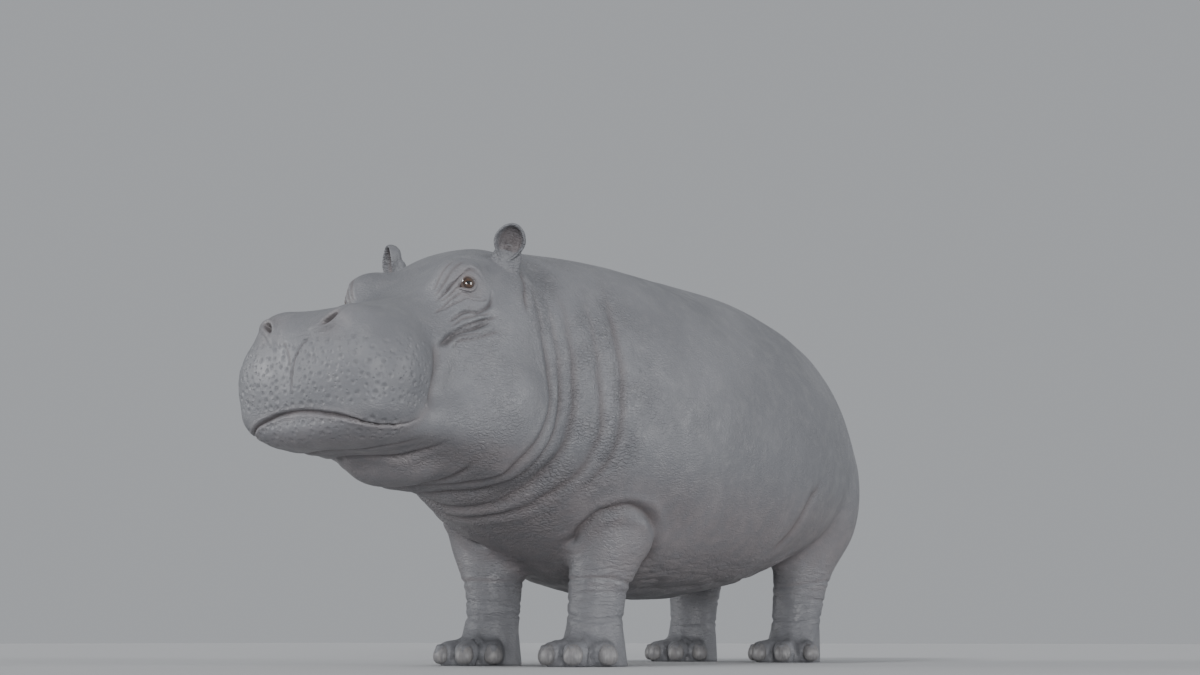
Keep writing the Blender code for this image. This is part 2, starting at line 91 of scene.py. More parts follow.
# Folds, in millimetres: depth, width and the places that the crease runs through on the left.
FOLDS = {
    "mouth": (15, 5, (
        (0, -1556, 767), (97, -1551, 759), (194, -1524, 739), (261, -1466, 719), (290, -1395, 725),
        (299, -1341, 750), (296, -1300, 786))),
    "muzzle": (12, 20, (
        (262, -1235, 1010), (277, -1240, 950), (286, -1262, 880), (284, -1275, 820),
        (296, -1296, 775))),
    "cheek": (21, 9, (
        (274, -1232, 980), (270, -1162, 1028), (275, -1120, 1050), (286, -1074, 1069),
        (300, -1030, 1089), (315, -990, 1103))),
    "cheek low": (5, 6.5, (
        (270, -1200, 980), (264, -1176, 1005), (271, -1134, 1029), (291, -1099, 1043),
        (309, -1050, 1056))),
    "cheek lower": (4, 7, (
        (278, -1170, 985), (289, -1135, 1017), (305, -1085, 1033), (319, -1022, 1054),
        (331, -966, 1071))),
    "under eye 1": (5, 4, (
        (248, -1080, 1173), (265, -1070, 1164), (275, -1047, 1166), (280, -1016, 1180))),
    "under eye 2": (6.2, 4.5, (
        (210, -1165, 1100), (223, -1148, 1123), (240, -1110, 1147), (262, -1080, 1152),
        (280, -1053, 1150), (284, -1007, 1172), (282, -992, 1199))),
    "under eye 3": (11, 6.5, (
        (245, -1165, 1060), (258, -1120, 1100), (267, -1077, 1122), (290, -1050, 1124),
        (295, -1010, 1144), (293, -984, 1174), (283, -972, 1215))),
    "under eye 4": (5.5, 5.5, (
        (262, -1165, 1045), (267, -1106, 1090), (284, -1073, 1105), (297, -1030, 1114),
        (305, -992, 1134))),
    "under eye 5": (5.5, 6, (
        (272, -1150, 1035), (288, -1097, 1073), (298, -1049, 1091), (310, -1005, 1108),
        (318, -965, 1125))),
    "tear at the eye": (6, 4.2, (
        (214, -1185, 1095), (221, -1126, 1146), (241, -1096, 1175), (257, -1072, 1186))),
    "over eye": (10, 5.5, (
        (180, -1150, 1140), (205, -1128, 1175), (232, -1110, 1210), (246, -1090, 1244),
        (255, -1058, 1267), (268, -1028, 1262), (277, -1006, 1236))),
    "over eye low": (5.5, 4.2, (
        (198, -1140, 1148), (228, -1112, 1178), (247, -1094, 1212), (260, -1080, 1234))),
    "over eye high": (3.5, 6.5, (
        (175, -1140, 1160), (208, -1122, 1215), (234, -1098, 1270), (236, -1043, 1300))),
    "over eye top": (2.5, 6.5, (
        (170, -1125, 1185), (195, -1110, 1240), (215, -1075, 1290))),
    "jowl back": (13.5, 15, (
        (245, -800, 1330), (313, -793, 1229), (346, -790, 1124), (369, -782, 947),
        (388, -820, 776), (336, -883, 660), (179, -892, 595), (0, -930, 590))),
    "neck 1": (8.5, 15, (
        (230, -735, 1350), (325, -735, 1226), (375, -738, 1075), (390, -735, 900),
        (378, -755, 750), (300, -800, 635), (140, -820, 566), (0, -840, 560))),
    "neck 2": (11, 19, (
        (215, -640, 1378), (335, -669, 1222), (398, -682, 1025), (407, -679, 856),
        (369, -683, 725), (267, -711, 613), (95, -734, 536), (0, -740, 530))),
    "neck 3": (10, 17, (
        (262, -511, 1364), (399, -583, 1159), (445, -589, 965), (446, -577, 798), (387, -595, 665),
        (273, -636, 568), (86, -668, 504), (0, -675, 500))),
    "neck 4": (9, 20, (
        (340, -440, 1320), (445, -495, 1130), (480, -500, 958), (468, -508, 752), (395, -548, 619),
        (290, -590, 545))),
    "behind ear": (9, 12, (
        (180, -790, 1380), (262, -800, 1310), (300, -830, 1220), (318, -850, 1120))),
    "shoulder": (17, 16, (
        (150, -420, 372), (235, -444, 446), (335, -446, 520), (410, -370, 545), (432, -270, 500),
        (392, -180, 418))),
    "armpit": (12, 14, (
        (425, -235, 470), (350, -160, 380), (230, -130, 320))),
    "flank": (9, 26, (
        (430, 520, 380), (520, 560, 480), (580, 610, 600), (600, 700, 720))),
    "groin": (14, 16, (
        (120, 640, 330), (260, 680, 345), (390, 740, 370), (440, 860, 400))),
    "buttock": (9, 20, (
        (30, 1250, 640), (110, 1220, 520), (200, 1150, 430))),
    "beside tail": (6, 16, (
        (50, 1520, 980), (110, 1510, 860), (150, 1450, 680), (170, 1360, 520))),
    "pouch front": (15, 15, (
        (0, -1300, 655), (127, -1240, 655), (214, -1195, 675), (300, -1165, 715))),
    "chin": (5, 12, (
        (0, -1400, 655), (150, -1370, 662), (240, -1300, 690), (290, -1260, 735))),
    "pouch back": (10, 14, (
        (0, -985, 600), (120, -980, 605), (230, -1010, 625), (300, -1060, 655))),
}
# Large forms added to the blended nodes, in millimetres: place, half sizes, height.
FORMS = (
    ((262, -1400, 860), (60, 130, 110), 10),        # whisker pad
    ((245, -1440, 765), (90, 110, 35), 12),         # hanging edge of the lip
    ((120, -1540, 720), (160, 60, 28), 6),          # lower lip
    ((250, -1075, 1262), (50, 90, 40), 6),          # brow
    ((255, -1060, 1150), (50, 80, 32), 8),          # bag below the eye
    ((340, -950, 860), (100, 150, 170), 22),        # cheek
    ((360, -320, 600), (90, 110, 110), 12),         # shoulder
    ((360, -300, 430), (60, 80, 110), 8),           # forearm
    ((410, 850, 620), (110, 180, 170), 14),         # thigh
    ((300, 1080, 420), (60, 60, 90), 8),            # hock
    ((0, -560, 1440), (160, 200, 50), 4),           # nape
    ((390, -260, 400), (70, 85, 130), 22),          # elbow
    ((0, -1110, 600), (200, 120, 50), 16),          # throat pouch
    ((130, -1535, 1035), (60, 50, 45), 7),          # nostril mound
)
SMALL_FOLDS = [name for name in FOLDS if "eye" in name or name == "mouth"]
LARGE_FOLDS = [name for name in FOLDS if name not in SMALL_FOLDS]
# Level creases round the legs: pair, height.
CUFFS = (
    ("front", 0.292), ("front", 0.236), ("front", 0.172),
    ("hind", 0.318), ("hind", 0.264), ("hind", 0.176),
)
CUFF_DEPTH, CUFF_WIDTH = 0.0052, 0.0062


# ---------------- fields of numbers
def smoothstep(low, high, value):
    """0 below low, 1 above high, and smooth between, either way round."""
    t = np.clip((value - low) / (high - low), 0.0, 1.0)
    return t * t * (3 - 2 * t)


def bell(off, width=1.0, power=2):
    """1 where off is 0, and fading away on both sides of it."""
    return np.exp(-((off / width) ** power))


def lengths(rows):
    return np.linalg.norm(rows, axis=1)


def lattice(cell, seed):
    """A steady pseudo-random number from 0 to 1 at each whole-numbered place."""
    x, y, z = (cell[:, i].astype(np.int64) for i in range(3))
    mixed = (x * 73856093) ^ (y * 19349663) ^ (z * 83492791) ^ (seed * 2654435761)
    mixed = (mixed ^ (mixed >> 13)) * 1274126177 & 0xFFFFFFFF
    return ((mixed ^ (mixed >> 16)) & 0xFFFF) / 65535.0


def noise(points, size, seed=1):
    """Smooth noise from -1 to 1 with features of the given size."""
    place = points / size
    cell = np.floor(place)
    t = place - cell
    t = t * t * (3 - 2 * t)
    total = np.zeros(len(points))
    for corner in range(8):
        step = np.array([corner & 1, corner >> 1 & 1, corner >> 2 & 1])
        share = np.prod(np.where(step, t, 1 - t), axis=1)
        total += share * lattice(cell + step, seed)
    return 2 * total - 1


def curve(points, count):
    """count points at even steps along a smooth curve through the given ones."""
    knots = np.array(points, float)
    ends = np.vstack((2 * knots[0] - knots[1], knots, 2 * knots[-1] - knots[-2]))
    found = []
    for k in range(1, len(ends) - 2):
        a, b, c, d = ends[k - 1 : k + 3]
        t = np.linspace(0, 1, 16, endpoint=False)[:, None]
        found.append(
            0.5 * (2 * b + (c - a) * t + (2 * a - 5 * b + 4 * c - d) * t**2
                   + (3 * b - a - 3 * c + d) * t**3)
        )
    dense = np.vstack((*found, knots[-1:]))
    run = np.concatenate(([0], np.cumsum(lengths(np.diff(dense, axis=0)))))
    even = np.linspace(0, run[-1], count)
    return np.column_stack([np.interp(even, run, dense[:, i]) for i in range(3)])


class Clay:
    """The skin's points, worked on as arrays, with the mesh they belong to."""

    def __init__(self, mesh):
        self.take(mesh)

    def take(self, mesh):
        """Reads the mesh's points."""
        self.mesh = mesh
        flat = np.empty(len(mesh.vertices) * 3)
        mesh.vertices.foreach_get("co", flat)
        self.co = flat.reshape(-1, 3)
        self.refresh()

    def refresh(self):
        """Writes the points to the mesh, and reads its normals again."""
        self.mesh.vertices.foreach_set("co", self.co.ravel())
        self.mesh.update()
        flat = np.empty(len(self.co) * 3, np.float32)
        self.mesh.vertex_normals.foreach_get("vector", flat)
        self.normal = flat.reshape(-1, 3).astype(float)

    def surface(self):
        """The skin as it is now, for finding the nearest place on it."""
        polygons = [tuple(polygon.vertices) for polygon in self.mesh.polygons]
        return BVHTree.FromPolygons(self.co.tolist(), polygons)

    def averaged(self, values, times):
        """The values after each has moved many times towards the mean of its neighbours."""
        self.mesh.vertices.foreach_set("co", values.ravel())
        self.mesh.update()
        body = add("averaged", self.mesh)
        even = body.modifiers.new("Even", "SMOOTH")
        even.factor, even.iterations = 0.9, times
        graph = bpy.context.evaluated_depsgraph_get()
        graph.update()
        flat = np.empty(values.size)
        body.evaluated_get(graph).data.vertices.foreach_get("co", flat)
        bpy.data.objects.remove(body)
        return flat.reshape(-1, 3)

    def smooth(self, weight, times):
        """Evens the points out, and gives back the volume that this would lose."""
        even = self.averaged(self.co, times)
        even += self.averaged(self.co - even, times)
        self.co += weight[:, None] * (even - self.co)
        self.refresh()

    def push(self, amount):
        """Moves each point outwards by its amount."""
        self.co += self.normal * amount[:, None]

    def near(self, centre, reach):
        """The numbers of the points in a box round the centre."""
        away = np.abs(self.co - np.asarray(centre)).max(axis=1)
        return np.flatnonzero(away < reach)


def add(name, data):
    """A new object of the scene, made of the data."""
    made = bpy.data.objects.new(name, data)
    bpy.context.scene.collection.objects.link(made)
    return made


def new_piece(name, bm):
    """A new object made of bm, which is used up."""
    mesh = bpy.data.meshes.new(name)
    bm.to_mesh(mesh)
    bm.free()
    return add(name, mesh)


def just_made(name):
    """The primitive that has just been added, named and smooth-shaded."""
    piece = bpy.context.object
    piece.name = piece.data.name = name
    piece.data.shade_smooth()
    return piece


def strand(tree, points, side):
    """The places of a crease at even steps, laid on the skin."""
    laid = [(side * x, y, z) for x, y, z in points]
    length = sum((Vector(p) - Vector(q)).length for p, q in zip(laid, laid[1:]))
    even = curve(laid, max(6, int(length / CREASE_STEP)))
    snapped = []
    for point in even:
        place, _, _, away = tree.find_nearest(Vector(point))
        on_skin = place is not None and away < CREASE_SNAP
        snapped.append(tuple(place) if on_skin else tuple(point))
    return np.array(snapped)


def distances(points, line):
    """Distance from each point to a line of short segments, and the share along it."""
    best = np.full(len(points), 1e9)
    share = np.zeros(len(points))
    for k in range(len(line) - 1):
        start, step = line[k], line[k + 1] - line[k]
        t = np.clip((points - start) @ step / (step @ step), 0, 1)
        away = lengths(points - start - t[:, None] * step)
        nearer = away < best
        best[nearer] = away[nearer]
        share[nearer] = (k + t[nearer]) / (len(line) - 1)
    return best, share


def crease(clay, wobbled, line, depth, width, mark, sharp=1.3, lip=LIP):
    """Presses a crease along the line. Its sides swell a little, as loose skin does."""
    reach = 5 * width
    low, high = line.min(axis=0) - reach, line.max(axis=0) + reach
    chosen = np.flatnonzero(((clay.co > low) & (clay.co < high)).all(axis=1))
    if not len(chosen):
        return
    away, share = distances(wobbled[chosen], line)
    taper = smoothstep(0, CREASE_TAPER, 1 - share) * smoothstep(0, CREASE_TAPER, share)
    uneven = 1 + 0.35 * noise(clay.co[chosen], 0.07, 5)
    valley = bell(away, width, sharp)
    swell = bell(away / width - 2.2, 1.3)
    change = depth * taper * uneven * (lip * swell - valley)
    clay.co[chosen] += clay.normal[chosen] * change[:, None]
    # the crease's mark is darkened by the hide's look as painted shade
    mark[chosen] = np.maximum(mark[chosen], taper * bell(away, 0.8 * width))


# ---------------- the skin's mesh
SOLID = [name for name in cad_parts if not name.startswith(("eye", "ear"))]
FLESH = [name for name in SOLID if not name.startswith("nail")]


def blended_nodes():
    """Copies of the solid nodes, grown until their cuts close, and the eye sockets, as one mesh."""
    whole = bmesh.new()
    for name in SOLID:
        piece = bmesh.new()
        piece.from_mesh(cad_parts[name].data)
        bmesh.ops.remove_doubles(piece, verts=piece.verts, dist=1e-5)
        bmesh.ops.recalc_face_normals(piece, faces=piece.faces)
        piece.normal_update()
        for vertex in piece.verts:
            vertex.co += vertex.normal * CLOSE
        copy = bpy.data.meshes.new("copy")
        piece.to_mesh(copy)
        piece.free()
        whole.from_mesh(copy)
        bpy.data.meshes.remove(copy)
    for side in SIDES:
        middle, radius = eye_ball(side)
        bmesh.ops.create_uvsphere(
            whole, u_segments=32, v_segments=16, radius=radius + SOCKET,
            matrix=Matrix.Translation(middle),
        )
    return remeshed(new_piece("skin", whole), GRAIN)


def changed(obj, kind, **settings):
    """Gives the object a modifier with these settings, and applies it."""
    modifier = obj.modifiers.new(kind.title(), kind)
    for key, value in settings.items():
        setattr(modifier, key, value)
    with bpy.context.temp_override(object=obj):
        bpy.ops.object.modifier_apply(modifier=modifier.name)
    return obj


def remeshed(obj, size):
    """Replaces the object's mesh by one even skin round all of it."""
    return changed(obj, "REMESH", mode="VOXEL", voxel_size=size)


def thinned(obj, triangles):
    """Replaces the object's mesh by one of about so many triangles."""
    obj.data.calc_loop_triangles()
    return changed(obj, "DECIMATE", ratio=min(1.0, triangles / len(obj.data.loop_triangles)))


def eye_ball(side):
    """The eyeball's middle and radius."""
    low, high = np.array(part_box(f"eye_{side}"))
    return Vector((low + high) / 2), float((high - low).min()) / 2


def eye_axes(side):
    """Aim, tilted sideways axis towards the rear corner, and up, as unit vectors."""
    out = SIDES[side]
    aim = Vector((out * math.sin(EYE_TURN), -math.cos(EYE_TURN), 0.06)).normalized()
    rear = Vector((0, 0, 1)).cross(aim).normalized() * out
    up = aim.cross(rear).normalized() * out
    turned = rear * math.cos(EYE_TILT) + up * math.sin(EYE_TILT)
    return aim, turned, up * math.cos(EYE_TILT) - rear * math.sin(EYE_TILT)


def refine(skin, chosen):
    """Halves the spacing of the points where chosen(points) is true."""
    bm = bmesh.new()
    bm.from_mesh(skin.data)
    co = np.array([v.co for v in bm.verts])
    inside = chosen(co)
    edges = [e for e in bm.edges if inside[e.verts[0].index] and inside[e.verts[1].index]]
    bmesh.ops.subdivide_edges(bm, edges=edges, cuts=1, use_grid_fill=True)
    bm.to_mesh(skin.data)
    bm.free()


def ahead_of(y):
    """Chooses the points of the head that lie ahead of y."""
    return lambda co: (co[:, 1] < y) & (co[:, 2] > 0.5)


def around(places, reach):
    """Chooses the points within reach of any of the places."""
    def chosen(co):
        found = np.zeros(len(co), bool)
        for place in places:
            found |= lengths(co - np.array(place)) < reach
        return found

    return chosen


def shape_skin():
    """The blended nodes with their facets smoothed away, least so on the feet and the tail."""
    skin = blended_nodes()
    clay = Clay(skin.data)
    clay.co[:, 2] = np.maximum(clay.co[:, 2], 0)
    leg = smoothstep(0.42, 0.30, clay.co[:, 2])
    foot = smoothstep(0.16, 0.11, clay.co[:, 2])
    tail = smoothstep(CAD_HIGH[1] - 0.065, CAD_HIGH[1] - 0.05, clay.co[:, 1])
    tail *= (np.abs(clay.co[:, 0]) < 0.06) & (clay.co[:, 2] < 0.93)
    fine = np.clip(foot + tail, 0, 1)
    clay.smooth(np.ones(len(clay.co)), 4)
    clay.smooth(1 - fine, 40)
    clay.smooth((1 - fine) * (1 - 0.85 * leg), 110)
    refine(skin, ahead_of(HEAD_FROM))
    clay.take(skin.data)
    clay.smooth(ahead_of(HEAD_FROM + 0.02)(clay.co).astype(float), 12)
    return skin, clay


# ---------------- details of the head
MOUTH = np.array(FOLDS["mouth"][2]) / MM
NOSTRIL = ((0.104, -1.552, 1.018), (0.156, -1.536, 1.058))   # its two ends
PHILTRUM = (
    (0.000, -1.570, 0.810), (0.000, -1.578, 0.850), (0.003, -1.577, 0.890),
    (0.014, -1.574, 0.935), (0.036, -1.566, 0.970), (0.070, -1.556, 0.995),
)


def open_lids(clay, mark):
    """Wraps the skin over each eye as lids of even thickness round a slanting opening."""
    wide, over, under = EYE_OPEN
    for side in SIDES:
        middle, radius = eye_ball(side)
        aim, rear, up = (np.array(axis) for axis in eye_axes(side))
        chosen = clay.near(middle, 0.085)
        away = clay.co[chosen] - np.array(middle)
        out = np.maximum(lengths(away), 1e-6)
        a, s, u = away @ aim, away @ rear, away @ up
        across, rise = np.arctan2(s, a), np.arctan2(u, a)
        bow = np.where(across > 0, np.abs(across / wide) ** 2.6, np.abs(across / wide) ** 1.5)
        arch = np.where(rise > 0, over, under) * (1 - np.minimum(bow, 1))
        edge = np.where(
            np.abs(across) < wide,
            np.abs(rise) - arch,
            np.hypot(np.abs(across) - wide, rise),
        )
        lid = radius + LID * smoothstep(-0.03, 0.10, edge)
        lid -= 0.006 * (1 - smoothstep(-0.13, -0.02, edge))
        lid += 0.0012 * bell(edge - 0.20, 0.12)
        lid -= 0.0016 * bell(edge - 0.36, 0.07)
        angle = np.arccos(np.clip(a / out, -1, 1))
        share = smoothstep(math.radians(80), math.radians(56), angle)
        clay.co[chosen] += (share * (lid / out - 1))[:, None] * away
        rim = bell(edge, 0.10) * share
        # the rim of the opening is marked as a fold, which the hide's look darkens as painted shade
        mark[chosen] = np.maximum(mark[chosen], 0.9 * rim)
    clay.refresh()


def open_nostrils(clay, mark):
    """A bent slit with a swollen rim on each nostril mound, and three small folds below it."""
    for out in SIDES.values():
        ends = [np.array((out * x, y, z)) for x, y, z in NOSTRIL]
        middle = (ends[0] + ends[1]) / 2
        along = ends[1] - ends[0]
        half = np.linalg.norm(along) / 2
        along /= 2 * half
        chosen = clay.near(middle, 0.09)
        nearest = chosen[np.argmin(lengths(clay.co[chosen] - middle))]
        normal = clay.normal[nearest]
        middle = clay.co[nearest]
        across = np.cross(normal, along)
        away = clay.co[chosen] - middle
        bend = 0.18 * (away @ along) ** 2 / half
        ring = np.hypot((away @ along) / (0.92 * half), (away @ across - bend) / 0.0112)
        near = bell(away @ normal, 0.05)
        hole = 0.024 * (1 - smoothstep(0.35, 1.0, ring)) * near
        rim = 0.0072 * bell(ring - 1.7, 0.75) * near
        below = -out * (away @ across)
        for gap in (0.022, 0.033, 0.043):
            bow = below - gap + 7.0 * (away @ along) ** 2
            fading = smoothstep(0.045, 0.02, np.abs(away @ along))
            rim -= 0.0016 * bell(bow, 0.0035) * fading
        clay.co[chosen] += (rim - hole)[:, None] * normal
        # the nostril's hole is marked as a fold, which the hide's look darkens as painted shade
        mark[chosen] = np.maximum(mark[chosen], near * (1 - smoothstep(0.7, 1.5, ring)))
    clay.refresh()


def whisker_region(co):
    """Where the lips are pitted: the front and sides of the muzzle, and less so the lower lip."""
    y, z = co[:, 1], co[:, 2]
    upper = smoothstep(-1.27, -1.36, y) * smoothstep(1.01, 0.93, z) * smoothstep(0.775, 0.80, z)
    lower = smoothstep(-1.36, -1.44, y) * smoothstep(0.745, 0.725, z) * smoothstep(0.675, 0.695, z)
    return np.maximum(upper, 0.8 * lower)


PIT_SIZES = (0.0042, 0.0078)   # the least and the most radius
PIT_GAPS = (2.8, 5.2)          # from one to the next, as shares of the radius
PIT_DEPTH = 0.44               # as a share of the radius


def press_pits(clay):
    """Dimples that the whiskers grow from, well apart, each with a low rim. Gives their depth."""
    rng = np.random.default_rng(11)
    region = whisker_region(clay.co)
    muzzle = np.flatnonzero(region > 0.01)
    places, normal = clay.co[muzzle], clay.normal[muzzle]
    left = np.flatnonzero(region[muzzle] > 0.25)
    left = left[rng.permutation(len(left))]
    pitted = np.zeros(len(clay.co))
    depth = np.zeros(len(muzzle))
    change = np.zeros(len(muzzle))
    while len(left):
        centre = places[left[0]]
        size = rng.uniform(*PIT_SIZES)
        room = size * rng.uniform(*PIT_GAPS)
        left = left[lengths(places[left] - centre) > room]
        chosen = np.flatnonzero(np.abs(places - centre).max(axis=1) < 3.2 * size)
        reach = lengths(places[chosen] - centre) / size
        rim = 0.30 * bell(reach - 1.75, 0.55)
        change[chosen] += PIT_DEPTH * size * (rim - bell(reach))
        depth[chosen] = np.maximum(depth[chosen], bell(1.7 * reach))
    clay.co[muzzle] += normal * change[:, None]
    pitted[muzzle] = depth
    clay.refresh()
    return pitted


def press_folds(clay, wobbled, mark, names, tree):
    """Presses the named folds on both sides. One that reaches the middle is a single line."""
    for name in names:
        depth, width, points = FOLDS[name]
        points = [tuple(number / MM for number in point) for point in points]
        if points[0][0] == 0:
            points = points[::-1]
        if points[-1][0] == 0:
            other = [(-x, y, z) for x, y, z in points[-2::-1]]
            lines = [strand(tree, (*points, *other), 1)]
        else:
            lines = [strand(tree, points, side) for side in SIDES.values()]
        lip = MOUTH_LIP if name == "mouth" else LIP
        for line in lines:
            crease(clay, wobbled, line, depth / MM, width / MM, mark, lip=lip)
    clay.refresh()


def raise_forms(clay):
    """Swells the large forms out of the skin, on both sides."""
    amount = np.zeros(len(clay.co))
    for side in SIDES.values():
        for place, size, height in FORMS:
            if side < 0 and place[0] == 0:
                continue
            centre = np.array((side * place[0], *place[1:])) / MM
            away = ((clay.co - centre) / (np.array(size) / MM)) ** 2
            amount += height / MM * np.exp(-away.sum(axis=1))
    clay.push(amount)
    clay.refresh()


def rings(clay, mask, run, spacing, depth, seed):
    """Rows of shallow wrinkles, at even steps of run."""
    phase = run / spacing + 0.8 * noise(clay.co, 0.10, seed)
    phase += 0.35 * noise(clay.co, 0.035, seed + 1)
    valley = (1 - np.abs(np.sin(math.pi * phase))) ** 2.5
    patchy = 0.55 + 0.45 * noise(clay.co, 0.08, seed + 2)
    clay.push(-depth * mask * valley * patchy)


def body_masks(co):
    """How far each point belongs to the head, the neck and the legs."""
    y, z = co[:, 1], co[:, 2]
    head = smoothstep(-0.78, -0.92, y) * smoothstep(0.5, 0.6, z)
    neck = smoothstep(-0.30, -0.50, y) * (1 - head) * smoothstep(0.38, 0.52, z)
    leg = smoothstep(0.46, 0.34, z)
    return {"head": head, "neck": neck, "leg": leg}


def wrinkle_body(clay):
    """Shallow rings round the legs and the neck, cuffs at the wrists and hocks, soft unevenness."""
    masks = body_masks(clay.co)
    z, y = clay.co[:, 2], clay.co[:, 1]
    rings(clay, masks["leg"] * smoothstep(0.10, 0.15, z), z, 0.030, 0.0022, 21)
    rings(clay, masks["neck"], y + 0.25 * (z - 0.9) ** 2 / 0.6, 0.044, 0.0012, 31)
    for k, (pair, height) in enumerate(CUFFS):
        leg = (y < MIDDLE) if pair == "front" else (y >= MIDDLE)
        off = (z - height + 0.022 * noise(clay.co, 0.13, 51 + k)) / CUFF_WIDTH
        patchy = 0.65 + 0.5 * noise(clay.co, 0.10, 61 + k)
        lips = 0.35 * bell(np.abs(off) - 2.4, 1.2)
        clay.push(leg * patchy * CUFF_DEPTH * (lips - bell(off)))
    clay.push(0.0025 * noise(clay.co, 0.22, 41) + 0.0012 * noise(clay.co, 0.09, 42))
    clay.refresh()


def refine_head(skin):
    """Closer points round the eyes, nostrils and lips. Chooses those on the refined skin."""
    eyes = [eye_ball(side)[0] for side in SIDES]
    hole = (NOSTRIL[0][0] + NOSTRIL[1][0]) / 2
    nostrils = [(out * hole, NOSTRIL[0][1], NOSTRIL[0][2] + 0.02) for out in SIDES.values()]
    lips = [np.array((out * x, y, z)) for out in SIDES.values() for x, y, z in curve(MOUTH, 30)]
    refine(skin, around(eyes, 0.075))
    refine(skin, around([*nostrils, *lips], 0.034))
    refine(skin, around(eyes, 0.046))
    near_eye, near_lip = around(eyes, 0.08), around([*nostrils, *lips], 0.04)
    return lambda co: near_eye(co) | near_lip(co)


def wobble(clay, size, seeds):
    """A small random shift for each point, which makes the creases waver."""
    return np.column_stack([noise(clay.co, size, seed) for seed in seeds])


def sculpt(skin, clay):
    """Works the skin over from its large forms to its details. Folds are kept as a mark on it,
    which the hide's look darkens as painted shade.
    """
    raise_forms(clay)
    mark = np.zeros(len(clay.co))
    wavering = clay.co + 0.006 * wobble(clay, 0.06, (11, 12, 13))
    press_folds(clay, wavering, mark, LARGE_FOLDS, clay.surface())
    wrinkle_body(clay)
    keep_field(skin, "fold", mark)
    refined = refine_head(skin)
    mark = kept_mark(skin)
    clay.take(skin.data)
    clay.smooth(refined(clay.co).astype(float), 6)
    wavering = clay.co + 0.0015 * wobble(clay, 0.03, (14, 15, 16))
    tree = clay.surface()
    press_folds(clay, wavering, mark, SMALL_FOLDS, tree)
    open_lids(clay, mark)
    open_nostrils(clay, mark)
    for out in SIDES.values():
        line = strand(tree, PHILTRUM, out)
        crease(clay, clay.co, line, 0.0044 if out > 0 else 0.0020, 0.0032, mark)
        clay.refresh()
    keep_field(skin, "pit", press_pits(clay))
    part_the_toes(clay, mark)
    make_way_for_nails(clay)
    flat = clay.co[:, 2] < 0.004
    clay.co[flat, 2] = 0.0
    clay.refresh()
    keep_field(skin, "fold", mark)


def keep_field(piece, name, values):
    """Stores a number from 0 to 1 for each point of the piece, under a name that looks can read."""
    layer = piece.data.attributes.get(name) or piece.data.attributes.new(name, "FLOAT", "POINT")
    layer.data.foreach_set("value", np.clip(values, 0, 1).astype(np.float32))


def kept_mark(skin):
    """How deep in a fold each point lies, as it was stored."""
    mark = np.empty(len(skin.data.vertices), np.float32)
    skin.data.attributes["fold"].data.foreach_get("value", mark)
    return mark.astype(float)


# ---------------- nails
NAIL = (0.0340, 0.0245, 0.0355)   # half width, depth and height
NAIL_LEAN = math.radians(-14)
NAIL_FOOT = 0.003                 # height of its level underside
ANKLE = 0.198                     # from the front of the foot back to where its toes spread from


def nails():
    """Each nail's name, its middle, the turn that points it out of its foot, and that undone."""
    for name in sorted(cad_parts):
        if not name.startswith("nail"):
            continue
        _, pair, side, _ = name.split("_")
        low, high = np.array(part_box(name))
        foot_low, foot_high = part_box(f"foot_{pair}_{side}")
        middle = Vector((low + high) / 2)
        ankle = Vector(((foot_low[0] + foot_high[0]) / 2, foot_low[1] + ANKLE, middle.z))
        heading = middle - ankle
        turn = Matrix.Rotation(math.atan2(heading.x, -heading.y), 4, "Z")
        turn = turn @ Matrix.Rotation(NAIL_LEAN, 4, "X")
        yield name, np.array(middle), turn, np.array(turn.to_3x3().inverted())


# In the nail's own frame: across the toe, back into the foot, up.
TOE_SIZE = (0.038, 0.060, 0.045)
KNUCKLE, KNUCKLE_SIZE = (0, 0.035, 0.040), (0.034, 0.030, 0.026)
CLEFT = ((0.006, -0.04), (0.009, 0.03), (0.024, 0.075), (0.055, 0.108), (0.090, 0.137))   # back, up
CLEFT_DEPTH, CLEFT_WIDTH = 0.0145, 0.0080


def part_the_toes(clay, mark):
    """Swells a toe behind each nail, and presses a cleft between each two, up over the foot."""
    feet = {}
    swell = np.zeros(len(clay.co))
    slope = np.zeros(len(clay.co))
    for name, middle, _, inverse in nails():
        feet.setdefault(name[:-2], []).append(middle)
        local = (clay.co - middle - (0, 0, 0.018)) @ inverse.T
        over = smoothstep(0.006, 0.045, local[:, 2]) * smoothstep(0.105, 0.060, local[:, 2])
        over *= bell(local[:, 0], 0.045, 4) * smoothstep(0.09, 0.03, local[:, 1])
        slope = np.maximum(slope, over)
        local[:, 1] -= 0.030
        reach = lengths(local / TOE_SIZE)
        swell = np.maximum(swell, 0.009 * bell(reach, power=2.5))
        knuckle = lengths((local - KNUCKLE) / KNUCKLE_SIZE)
        swell = np.maximum(swell, 0.003 * bell(knuckle))
    clay.push(swell)
    clay.co += slope[:, None] * (0, 0.018, -0.006)
    clay.refresh()
    cleft = np.zeros(len(mark))
    for middles in feet.values():
        for a, b in zip(middles, middles[1:]):
            between = (a + b) / 2
            inward = np.cross(b - a, (0, 0, 1.0))
            inward /= np.linalg.norm(inward) * (1 if inward[1] > 0 else -1)
            line = [between + inward * back + (0, 0, z - between[2]) for back, z in CLEFT]
            crease(clay, clay.co, curve(line, 16), CLEFT_DEPTH, CLEFT_WIDTH, cleft, sharp=1.5)
    # the clefts join the fold mark, which the hide's look darkens as painted shade between the toes
    np.maximum(mark, 0.22 * cleft, out=mark)
    clay.refresh()


def make_way_for_nails(clay):
    """Sinks the toes under the nails a little, so that each nail stands proud."""
    for _, middle, _, inverse in nails():
        chosen = clay.near(middle, 0.06)
        local = (clay.co[chosen] - middle) @ inverse.T / NAIL
        reach = lengths(local)
        ahead = smoothstep(0.45, -0.15, local[:, 1])
        sink = smoothstep(1.22, 1.04, reach) * ahead
        target = np.minimum(reach, 0.86) / np.maximum(reach, 1e-6)
        moved = middle + (local * target[:, None] * NAIL) @ inverse
        clay.co[chosen] += sink[:, None] * (moved - clay.co[chosen])


